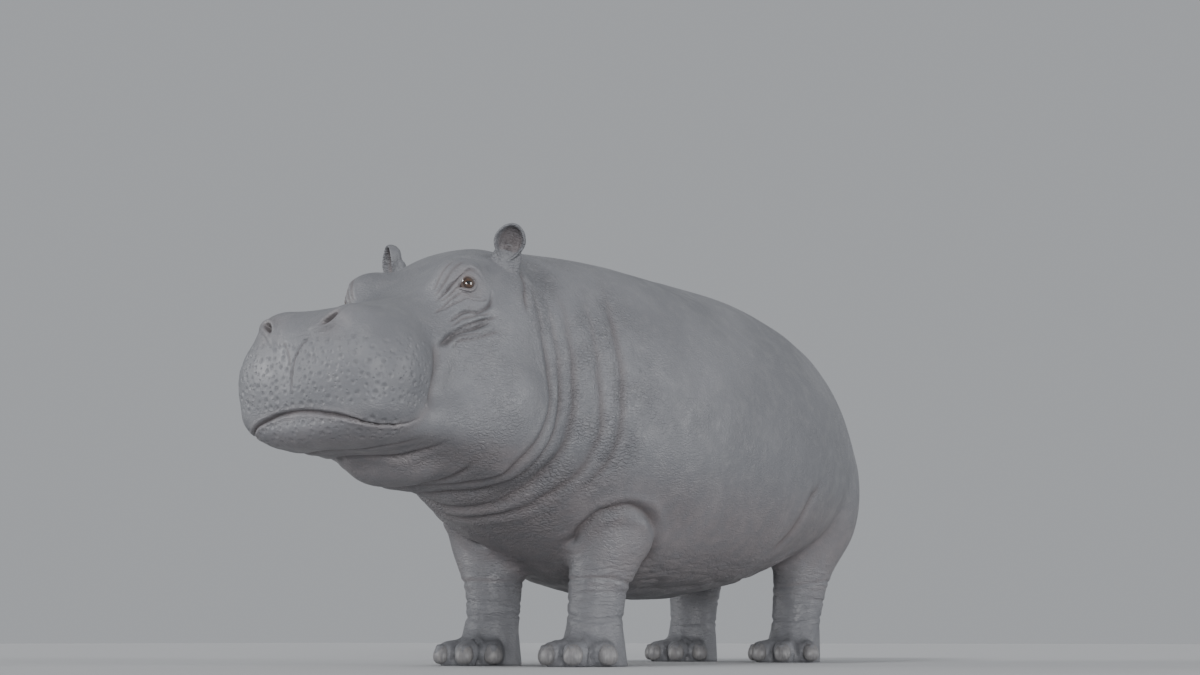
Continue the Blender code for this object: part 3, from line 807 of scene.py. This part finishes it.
def shape_nail():
    """One nail at the origin: a shield, rounded over its top and a little uneven."""
    bpy.ops.mesh.primitive_uv_sphere_add(segments=40, ring_count=26, radius=1.0, calc_uvs=False)
    nail = just_made("nail")
    for vertex in nail.data.vertices:
        x, y, z = vertex.co
        reach = math.hypot(x, z)
        if reach > 1e-6:
            square = reach / (abs(x) ** 2.5 + abs(z) ** 2.5) ** (1 / 2.5)
            x, z = x * square, z * square
        wide = 1.0 - 0.16 * max(z, 0) - 0.05 * z
        grain = 1 + 0.006 * math.sin(31 * x) + 0.008 * math.sin(17 * z + 3 * x)
        lean = 0.10 * z * z if z > 0 else 0.0
        vertex.co = (x * NAIL[0] * wide, (y * grain + lean) * NAIL[1], z * NAIL[2])
    return nail


def build_nails():
    """A copy of the nail on the front of each toe, cut off level just above the floor."""
    nail = shape_nail()
    made = []
    for name, middle, turn, _ in nails():
        piece = add(f"{name}_shape", nail.data.copy())
        piece.data.transform(Matrix.Translation(middle) @ turn)
        for vertex in piece.data.vertices:
            vertex.co.z = max(vertex.co.z, NAIL_FOOT)
        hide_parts(name)
        made.append(piece)
    bpy.data.objects.remove(nail)
    return made


# ---------------- ears
EAR_ROWS = (                   # share of the leaf's outline, place along the opening's axis
    (0.30, -0.036), (0.66, -0.033), (0.90, -0.021), (1.00, -0.005), (1.01, 0.008),
    (0.95, 0.014), (0.85, 0.010), (0.77, -0.003), (0.62, -0.014), (0.40, -0.021),
    (0.18, -0.024),
)
EAR_LEAF = (0.054, 0.062, 0.074)   # half width, up, down
EAR_TURN = math.radians(33)        # outwards from straight ahead
EAR_STEPS, BASE_STEPS = 44, 32     # points round the leaf and round its base
EAR_BASE = (                   # share of the way from the head to the cup, half sizes
    (-0.60, 0.074, 0.050), (-0.25, 0.064, 0.042), (0.10, 0.056, 0.036), (0.45, 0.051, 0.030),
    (0.72, 0.044, 0.022), (0.90, 0.032, 0.014),
)


def build_ear(side):
    """A leaf-shaped cup with a thick rolled rim, on a broad base that widens into the head."""
    out = SIDES[side]
    low, high = np.array(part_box(f"ear_{side}"))
    top = Vector(((low[0] + high[0]) / 2 + out * 0.010, (low[1] + high[1]) / 2, high[2] - 0.060))
    root = Vector((top.x - out * 0.034, top.y + 0.006, top.z - 0.088))
    up = (top - root).normalized()
    opening = Matrix.Rotation(EAR_TURN * out, 3, "Z") @ Vector((0, -1, 0.1))
    opening = (opening - opening.dot(up) * up).normalized()
    across = up.cross(opening)
    bm = bmesh.new()
    made = []
    for share, depth in EAR_ROWS:
        ring = []
        for k in range(EAR_STEPS):
            turn = 2 * math.pi * k / EAR_STEPS
            rise = math.sin(turn)
            tall = EAR_LEAF[1] if rise > 0 else EAR_LEAF[2]
            slim = 1 - 0.42 * max(0.0, -rise) ** 1.5 - 0.06 * max(0.0, rise)
            point = top + across * (EAR_LEAF[0] * share * math.cos(turn) * slim)
            curl = 0.010 * rise - 0.006 * math.cos(turn) ** 2
            point += up * (tall * share * rise) + opening * (depth - curl * share)
            ring.append(bm.verts.new(point))
        made.append(ring)
    skin_rings(bm, made)
    base = []
    for share, wide, deep in EAR_BASE:
        centre = root.lerp(top, share) - opening * (0.006 + 0.018 * max(share, 0))
        base.append([
            bm.verts.new(centre + across * (math.cos(a) * wide) + opening * (math.sin(a) * deep))
            for a in (2 * math.pi * k / BASE_STEPS for k in range(BASE_STEPS))
        ])
    skin_rings(bm, base)
    bmesh.ops.recalc_face_normals(bm, faces=bm.faces)
    ear = remeshed(new_piece(f"ear_{side}_shape", bm), EAR_GRAIN)
    clay = Clay(ear.data)
    clay.smooth(np.ones(len(clay.co)), 14)
    local = (clay.co - np.array(top)) @ np.column_stack((across, up, opening))
    x, rise, depth = local.T
    facing = smoothstep(0.0, 0.35, clay.normal @ np.array(opening))
    hollow = facing * smoothstep(1.0, 0.8, np.hypot(x / 0.043, (rise + 0.006) / 0.062))
    hollow *= smoothstep(0.006, 0.0, depth)
    pit = np.exp(-((x / 0.013) ** 2 + ((rise + 0.026) / 0.024) ** 2))
    folds = (1 - np.abs(np.sin((x + 0.10 * rise) / 0.0046 + noise(clay.co, 0.03, 3)))) ** 1.5
    clay.push(-0.013 * pit * hollow - 0.0022 * hollow * folds * smoothstep(0.02, -0.02, rise))
    waist = smoothstep(-0.030, -0.055, rise) * smoothstep(0.2, -0.3, hollow)
    net = (1 - np.abs(noise(clay.co * (1, 1, 1.6), 0.010, 8))) ** 3
    clay.push(-0.0032 * waist * net)
    clay.push(-0.0012 * (1 - hollow) * (1 - np.abs(noise(clay.co, 0.016, 9))) ** 4)
    clay.refresh()
    # the cup's hollow and pit are marked as a fold, so the hide's look paints shade into them as
    # well as pink
    keep_field(ear, "fold", 0.80 * hollow + 0.9 * pit * hollow)
    return ear


def skin_rings(bm, made):
    """Joins rings of points, one after the other, and closes both ends."""
    count = len(made[0])
    for low, high in zip(made, made[1:]):
        for i in range(count):
            j = (i + 1) % count
            bm.faces.new((low[i], low[j], high[j], high[i]))
    for ring in (made[0], made[-1]):
        bm.faces.new(ring)


def join_ear(skin, ear, middle):
    """Unites the ear with the skin, and evens out the skin along the line where they meet."""
    trees = [Clay(piece.data).surface() for piece in (skin, ear)]
    changed(skin, "BOOLEAN", operation="UNION", solver="MANIFOLD", object=ear)
    skin.data.materials.clear()
    skin.data.polygons.foreach_set("material_index", [0] * len(skin.data.polygons))
    clay = Clay(skin.data)
    weight = np.zeros(len(clay.co))
    for k in clay.near(middle, 0.14):
        off = max(tree.find_nearest(Vector(clay.co[k]))[3] or 0.0 for tree in trees)
        weight[k] = smoothstep(JOIN, 0.3 * JOIN, off)
    mark = kept_mark(skin)
    even = clay.averaged(np.repeat(mark[:, None], 3, axis=1), 6)[:, 0]
    keep_field(skin, "fold", mark + weight * (even - mark))
    clay.smooth(weight, 10)
    bpy.data.objects.remove(ear)


def finish_skin(skin):
    """Thins the triangles, adds the ears, and makes one piece of it."""
    thinned(skin, SKIN_TRIANGLES)
    for side in SIDES:
        low, high = np.array(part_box(f"ear_{side}"))
        join_ear(skin, thinned(build_ear(side), EAR_TRIANGLES), (low + high) / 2)
    clay = Clay(skin.data)
    clay.co = np.clip(clay.co, np.array(CAD_LOW) + 1e-5, np.array(CAD_HIGH) - 1e-5)
    clay.co[clay.co[:, 2] < 2e-5, 2] = 0.0
    clay.refresh()
    skin.data.shade_smooth()
    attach(skin, "root")
    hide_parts(*FLESH, "ear_left", "ear_right")


# ---------------- eyes and bristles
def build_eyes():
    """Each eyeball, with the swell of its cornea, and its own map from the pupil outwards."""
    made = []
    for side in SIDES:
        middle, radius = eye_ball(side)
        aim, _, _ = eye_axes(side)
        bpy.ops.mesh.primitive_uv_sphere_add(
            segments=64, ring_count=48, radius=radius - EYE_PLAY, calc_uvs=False
        )
        piece = just_made(f"eyeball_{side}")
        ball = piece.data
        for vertex in ball.vertices:
            off = vertex.co.z / radius
            vertex.co *= 1 + CORNEA * float(smoothstep(0.84, 0.97, off)) - CORNEA
        layer = ball.uv_layers.new(name="Eye", do_init=False)
        for loop in ball.loops:
            x, y, z = ball.vertices[loop.vertex_index].co / radius
            away = math.acos(max(-1.0, min(1.0, z)))
            flat = max(math.hypot(x, y), 1e-6)
            layer.data[loop.index].uv = [0.5 + n / flat * away / EYE_MAP for n in (x, y)]
        rear = Vector((0, 0, 1)).cross(aim).normalized()
        level = Matrix((rear, aim.cross(rear), aim)).transposed().to_4x4()
        ball.transform(Matrix.Translation(middle) @ level)
        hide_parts(f"eye_{side}")
        made.append(piece)
    return made


BRISTLES = 46
BRISTLE = 0.0016               # radius at the root
BAKE_PATCH = 0.003             # how wide one bristle is on the map


def build_bristles():
    """Short stiff hairs down both edges of the tail's tip, joined into one piece."""
    low, high = np.array(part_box("tail"))
    rng = np.random.default_rng(7)
    made = []
    for k in range(BRISTLES):
        share = k / (BRISTLES - 1)
        side = 1 if k % 2 else -1
        z = low[2] + 0.012 + 0.095 * share
        half = 0.010 + 0.016 * share
        y = high[1] - 0.018
        start = Vector((side * half * rng.uniform(0.5, 1.0), y + rng.uniform(-0.006, 0.004), z))
        fall = Vector((side * (0.10 + 0.30 * share) + rng.uniform(-0.1, 0.1),
                       rng.uniform(-0.12, 0.02), -1)).normalized()
        length = rng.uniform(0.040, 0.065)
        bpy.ops.mesh.primitive_cone_add(
            vertices=6, radius1=BRISTLE, radius2=BRISTLE / 5, depth=length, calc_uvs=False
        )
        piece = just_made("tail_bristles")
        # its patch: at the root's place on the tail, unwrapped round its length
        angle = math.atan2(start.y - (low[1] + high[1]) / 2, start.x) / (2 * math.pi) + 0.5
        patch = (0.1 + 0.8 * angle, 0.1 + 0.8 * (z - low[2]) / (high[2] - low[2]))
        bake = piece.data.uv_layers.new(name="OFBake", do_init=False)
        for loop in piece.data.loops:
            place = piece.data.vertices[loop.vertex_index].co
            bake.data[loop.index].uv = (
                patch[0] + BAKE_PATCH / 2 * place.x / BRISTLE,
                patch[1] + BAKE_PATCH * (0.8 * place.z / length + 0.1 * place.y / BRISTLE),
            )
        turn = fall.to_track_quat("Z", "Y").to_matrix().to_4x4()
        piece.data.transform(Matrix.Translation(start + fall * length / 2) @ turn)
        made.append(piece)
    bpy.ops.object.select_all(action="DESELECT")
    for piece in made:
        piece.select_set(True)
    bpy.context.view_layer.objects.active = made[0]
    bpy.ops.object.join()
    return made[0]


# ---------------- materials
DARK_SLATE, SLATE = (0.123, 0.126, 0.137, 1), (0.151, 0.154, 0.166, 1)
WORN_SLATE = (0.205, 0.204, 0.210, 1)
# the hide's own pink, kept light enough to lift the shaded belly as painted fill light
DULL_PINK = (0.228, 0.174, 0.166, 1)
# painted shade, darkened into the cracks, folds, dimples and wrinkles of the hide
CREASE_SHADE = (0.060, 0.052, 0.054, 1)
DARK_HORN, HORN = (0.122, 0.120, 0.125, 1), (0.172, 0.169, 0.171, 1)
WORN_HORN = (0.205, 0.195, 0.188, 1)
DARK_BROWN, BROWN = (0.026, 0.012, 0.006, 1), (0.078, 0.037, 0.017, 1)
IRIS_EDGE, PUPIL = (0.014, 0.007, 0.005, 1), (0.002, 0.002, 0.002, 1)
EYE_WHITE, EYE_CORNER = (0.088, 0.060, 0.050, 1), (0.036, 0.022, 0.018, 1)
BRISTLE_DARK, BRISTLE_BROWN = (0.012, 0.010, 0.009, 1), (0.060, 0.050, 0.044, 1)
FLOOR_GREY, FLOOR_PALE = (0.462, 0.467, 0.477, 1), (0.482, 0.487, 0.497, 1)
SKY, SKY_STRENGTH = (0.62, 0.64, 0.67, 1), 0.62


class Value:
    """What a node gives, so that the maths of a look reads as an expression."""

    def __init__(self, look, socket):
        self.look, self.socket = look, socket

    def maths(self, operation, *others):
        given = dict(enumerate((self, *others)))
        return self.look.node("Math", {"operation": operation}, given)

    def __add__(self, other):
        return self.maths("ADD", other)

    def __sub__(self, other):
        return self.maths("SUBTRACT", other)

    def __mul__(self, other):
        return self.maths("MULTIPLY", other)

    def __rsub__(self, other):
        return (self * -1) + other

    __radd__, __rmul__ = __add__, __mul__

    def most(self, other):
        return self.maths("MAXIMUM", other)

    def size(self):
        return self.maths("ABSOLUTE")

    def step(self, low, high):
        """0 below low, 1 above high, and smooth between, either way round."""
        return self.look.node(
            "MapRange", {"interpolation_type": "SMOOTHSTEP"},
            {"Value": self, "From Min": low, "From Max": high},
        )


class Look:
    """A material, with the surface shader that its nodes end in."""

    def __init__(self, name, roughness=0.5, **constants):
        self.material = bpy.data.materials.new(name)
        self.material.use_nodes = True
        self.tree = self.material.node_tree
        self.shader = self.tree.nodes["Principled BSDF"]
        self.shader.inputs["Roughness"].default_value = roughness
        for key, value in constants.items():
            self.shader.inputs[key.replace("_", " ")].default_value = value

    def node(self, kind, settings, values, output=0):
        """A new node of this kind, with its settings made before its sockets are filled."""
        made = self.tree.nodes.new("ShaderNode" + kind)
        for key, value in settings.items():
            setattr(made, key, value)
        for key, value in values.items():
            if isinstance(value, Value):
                self.tree.links.new(value.socket, made.inputs[key])
            else:
                made.inputs[key].default_value = value
        return Value(self, made.outputs[output])

    def place(self):
        return self.node("TexCoord", {}, {}, "Object")

    def mark(self, name):
        return self.node("Attribute", {"attribute_name": name}, {}, "Fac")

    def vector(self, operation, *values, output=0):
        given = dict(enumerate(values))
        return self.node("VectorMath", {"operation": operation}, given, output)

    def stretched(self, place, scale):
        return self.vector("MULTIPLY", place, scale)

    def moved(self, place, by, reach):
        """The place shifted about by the colour of a noise."""
        off = self.vector("SUBTRACT", by, (0.5, 0.5, 0.5))
        far = self.node("VectorMath", {"operation": "SCALE"}, {0: off, "Scale": reach})
        return self.vector("ADD", place, far)

    def grain(self, place, size, detail=2.0, output="Fac"):
        return self.node(
            "TexNoise", {}, {"Vector": place, "Scale": 1 / size, "Detail": detail}, output
        )

    def cells(self, place, size, feature="F1"):
        return self.node(
            "TexVoronoi", {"feature": feature}, {"Vector": place, "Scale": 1 / size}
        )

    def mix(self, share, first, second):
        return self.node(
            "Mix", {"data_type": "RGBA"}, {0: share, 6: first, 7: second}, 2
        )

    def finish(self, colour=None, roughness=None, height=None, coat=None):
        """Links what varies. Height is in millimetres."""
        given = {"Base Color": colour, "Roughness": roughness, "Coat Weight": coat}
        if height is not None:
            given["Normal"] = self.node(
                "Bump", {}, {"Height": height, "Distance": 0.001, "Strength": 1.0}
            )
        for name, value in given.items():
            if value is not None:
                self.tree.links.new(value.socket, self.shader.inputs[name])
        return self.material


def skin_look():
    """Slate-grey hide with a net of cracks, pores and wrinkles, painted shade in its cracks and
    folds, and dull pink where it is thin.
    """
    look = Look("hide", Specular_IOR_Level=0.45, Coat_Roughness=0.3)
    place = look.place()
    fold, muzzle, neck, leg, blush, ear, cheek = (
        look.mark(name)
        for name in ("fold", "whiskers", "neck", "leg", "blush", "wrinkled", "cheek")
    )
    drift = look.grain(place, 0.035, 2.0, "Color")
    bent = look.moved(place, drift, 0.020)
    # nets of soft cracks: coarse ones between plates of hide, and fine ones within them
    coarse = look.cells(look.stretched(bent, (0.75, 0.75, 1.7)), 0.018, "DISTANCE_TO_EDGE")
    fine = look.cells(look.stretched(bent, (0.9, 0.9, 1.6)), 0.0105, "DISTANCE_TO_EDGE")
    patches = look.grain(place, 0.16, 1.0).step(0.38, 0.62)
    calm = 1 - muzzle * 0.85
    rugged = (0.30 + neck * 0.7 + cheek * 0.35 + ear * 0.5) * (0.3 + 0.7 * patches)
    net = 1 - coarse.step(0.0, 0.26)
    weave = 1 - fine.step(0.0, 0.34)
    pores = look.grain(place, 0.0045, 3.0)
    lumps = look.grain(place, 0.024, 3.0)
    # long wrinkles: level on the legs, and along the folds of the neck
    level = look.grain(look.stretched(bent, (9.0, 9.0, 52.0)), 1.0, 2.0)
    upright = look.grain(look.stretched(bent, (10.0, 45.0, 12.0)), 1.0, 2.0)
    level = (1 - (level - 0.5).size() * 7.0).most(0.0)
    upright = (1 - (upright - 0.5).size() * 7.0).most(0.0)
    # finer specks among the dimples that the whiskers grow from
    small = look.cells(look.moved(place, drift, 0.011), 0.0165)
    speck = (1 - small.step(0.02, 0.30)) * muzzle
    root = look.mark("pit").most((1 - small.step(0.05, 0.13)) * muzzle * 0.5)
    height = (
        lumps * 2.0 * (1 - muzzle * 0.3) + pores * 0.45
        - net * rugged * calm * 2.0 - weave * calm * 0.55 * (0.6 + rugged)
        - level * leg * 1.5 - upright * neck * 0.9 - speck * 1.5 - root * 0.8
    )
    # colour: slate, mottled, darker with painted shade in the cracks, folds, dimples and wrinkles,
    # and dull pink where the hide is thin
    cloud = look.grain(place, 0.42, 3.0)
    mottle = look.grain(place, 0.05, 3.0)
    tone = look.mix(cloud.step(0.35, 0.65), DARK_SLATE, SLATE)
    tone = look.mix(mottle.step(0.42, 0.75) * 0.24, tone, WORN_SLATE)
    # dull pink where the hide is thin and on the underside, where its lighter tone is also painted
    # fill light
    flush = blush * (0.55 + 0.45 * mottle.step(0.3, 0.6))
    tone = look.mix(flush * 0.60, tone, DULL_PINK)
    # painted shade: the cracks, the folds, the whisker dimples and the leg wrinkles are darkened
    # towards the crease shade
    painted_shade = (net * rugged * calm * 0.24).most(fold * 0.48).most(root * 0.20).most(level * leg * 0.12)
    painted_shade = painted_shade.most(weave * calm * 0.07)
    tone = look.mix(painted_shade, tone, CREASE_SHADE)
    gloss = look.grain(place, 0.10, 2.0).step(0.45, 0.68)
    rough = 0.45 + pores * 0.12 - gloss * 0.13 + painted_shade * 0.25
    return look.finish(tone, rough, height, look.mark("wet"))


def nail_look():
    """Grey horn with upright streaks, worn paler in places."""
    look = Look("nail", 0.42, Specular_IOR_Level=0.5)
    place = look.place()
    streaks = look.grain(look.stretched(place, (150.0, 150.0, 14.0)), 1.0, 3.0)
    cloud = look.grain(place, 0.03, 2.0)
    tone = look.mix(streaks.step(0.3, 0.7), DARK_HORN, HORN)
    tone = look.mix(cloud.step(0.5, 0.75) * 0.4, tone, WORN_HORN)
    return look.finish(tone, 0.36 + streaks * 0.2, streaks * 0.9 + cloud * 0.8)


def eye_look():
    """A brown eye with a level oval pupil under a wet surface."""
    look = Look("eye", 0.05, Specular_IOR_Level=0.6, Coat_Weight=1.0, Coat_Roughness=0.02)
    flat = look.node("UVMap", {"uv_map": "Eye"}, {})
    centred = look.stretched(look.vector("SUBTRACT", flat, (0.5, 0.5, 0)), (EYE_MAP, EYE_MAP, 0))
    away = look.vector("LENGTH", centred, output="Value")
    oval = look.vector("LENGTH", look.stretched(centred, (1.0, 1.75, 1.0)), output="Value")
    ray = look.vector("NORMALIZE", centred)
    fibres = look.grain(look.stretched(ray, (9.0, 9.0, 9.0)), 1.0, 4.0)
    iris = look.mix(fibres.step(0.3, 0.7), DARK_BROWN, BROWN)
    iris = look.mix(away.step(0.46, 0.66), iris, IRIS_EDGE)
    white = look.mix(away.step(0.74, 1.00), EYE_WHITE, EYE_CORNER)
    tone = look.mix(away.step(0.64, 0.74), iris, white)
    tone = look.mix(1 - oval.step(0.35, 0.41), tone, PUPIL)
    return look.finish(tone)


def bristle_look():
    look = Look("bristles")
    shade = look.grain(look.place(), 0.006, 2.0)
    tone = look.mix(shade, BRISTLE_DARK, BRISTLE_BROWN)
    return look.finish(tone, 0.45 + shade * 0.2)


def floor_look():
    look = Look("floor", 0.75)
    shade = look.grain(look.place(), 0.8, 2.0)
    return look.finish(look.mix(shade, FLOOR_GREY, FLOOR_PALE))


def mark_regions(skin):
    """Stores on the finished skin what its look reads: where it is pitted, wrinkled, pink, wet."""
    clay = Clay(skin.data)
    co, up = clay.co, clay.normal[:, 2]
    side, y, z = np.abs(co[:, 0]), co[:, 1], co[:, 2]
    masks = body_masks(co)
    lips, eye, hole = curve(MOUTH, 40), np.array(eye_ball("left")[0]), np.mean(NOSTRIL, axis=0)
    off_lips, off_eye, off_hole = (
        np.min([lengths(np.column_stack((side, y, z)) - place) for place in places], axis=0)
        for places in (lips, [eye], [hole])
    )
    fold = kept_mark(skin)
    ear = smoothstep(1.335, 1.36, z) * smoothstep(0.17, 0.20, side) * smoothstep(-0.75, -0.79, y)
    blush = 0.48 * bell(off_eye, 0.050) + 0.28 * bell(off_lips, 0.020)
    # the underside is pink, and its paler pink also lifts the shaded belly as painted fill light
    under = smoothstep(0.35, -0.75, up) * smoothstep(0.75, 0.50, z) * smoothstep(0.2, 0.32, z)
    blush += 0.45 * under
    blush += 0.22 * fold + 0.35 * ear * fold + 0.25 * bell(off_hole, 0.05)
    blush += 0.30 * bell(z - 0.66, 0.05) * masks["head"]
    wet = 0.7 * bell(off_eye, 0.040, 6) * (fold > 0.25)
    wet += 0.5 * bell(off_hole, 0.034, 4) * fold + 0.3 * bell(off_lips, 0.006)
    for name, values in (
        ("whiskers", whisker_region(co)), ("neck", masks["neck"]), ("blush", blush), ("wet", wet),
        ("leg", smoothstep(0.44, 0.34, z) * smoothstep(0.08, 0.14, z)),
        ("wrinkled", ear * smoothstep(1.44, 1.38, z) * (1 - fold)),
        ("cheek", masks["head"] * smoothstep(-1.30, -1.22, y) * smoothstep(1.12, 1.02, z)),
    ):
        keep_field(skin, name, values)


# ---------------- the stage
# Lights: where each comes from, its strength and how many degrees of the sky it fills.
LIGHTS = (
    ((0.2, -5.8, 5.2), 1.22, 16), ((6.5, 1.9, 2.0), 1.45, 28),
    ((5.6, -6.6, 1.3), 2.90, 22), ((-5.0, -4.0, 2.0), 1.70, 34),
)
LIT = Vector((0, -0.4, 0.8))    # the place that the lights point at
CAMERA = (3.617, -5.119, 0.0915)
CAMERA_TURN, CAMERA_RISE = math.radians(35), math.radians(10.27)


def build_stage():
    """A plain floor, a pale sky, four soft lights and the camera."""
    bpy.ops.mesh.primitive_plane_add(size=60)
    floor = bpy.context.object
    floor.name = "floor"
    floor.data.materials.append(floor_look())
    world = bpy.context.scene.world or bpy.data.worlds.new("world")
    bpy.context.scene.world = world
    world.use_nodes = True
    sky = world.node_tree.nodes["Background"]
    sky.inputs["Color"].default_value = SKY
    sky.inputs["Strength"].default_value = SKY_STRENGTH
    for place, strength, breadth in LIGHTS:
        light = bpy.data.lights.new("light", "SUN")
        light.energy = strength
        light.angle = math.radians(breadth)
        lamp = add("light", light)
        lamp.location = place
        aim = LIT - Vector(place)
        lamp.rotation_euler = aim.to_track_quat("-Z", "Y").to_euler()
    camera = add("camera", bpy.data.cameras.new("camera"))
    camera.data.sensor_width, camera.data.lens = 36, 50
    camera.location = CAMERA
    level = math.cos(CAMERA_RISE)
    aim = (-math.sin(CAMERA_TURN) * level, math.cos(CAMERA_TURN) * level, math.sin(CAMERA_RISE))
    camera.rotation_euler = Vector(aim).to_track_quat("-Z", "Y").to_euler()
    bpy.context.scene.camera = camera


# ---------------- the model
skin, clay = shape_skin()
sculpt(skin, clay)
finish_skin(skin)
mark_regions(skin)
skin.data.materials.append(skin_look())
looks = {"nail": nail_look(), "eye": eye_look(), "bristles": bristle_look()}
bristles = build_bristles()
pieces = [(piece, "nail") for piece in build_nails()] + [(piece, "eye") for piece in build_eyes()]
for piece, name in (*pieces, (bristles, "bristles")):
    piece.data.materials.append(looks[name])
    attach(piece, "root")
build_stage()
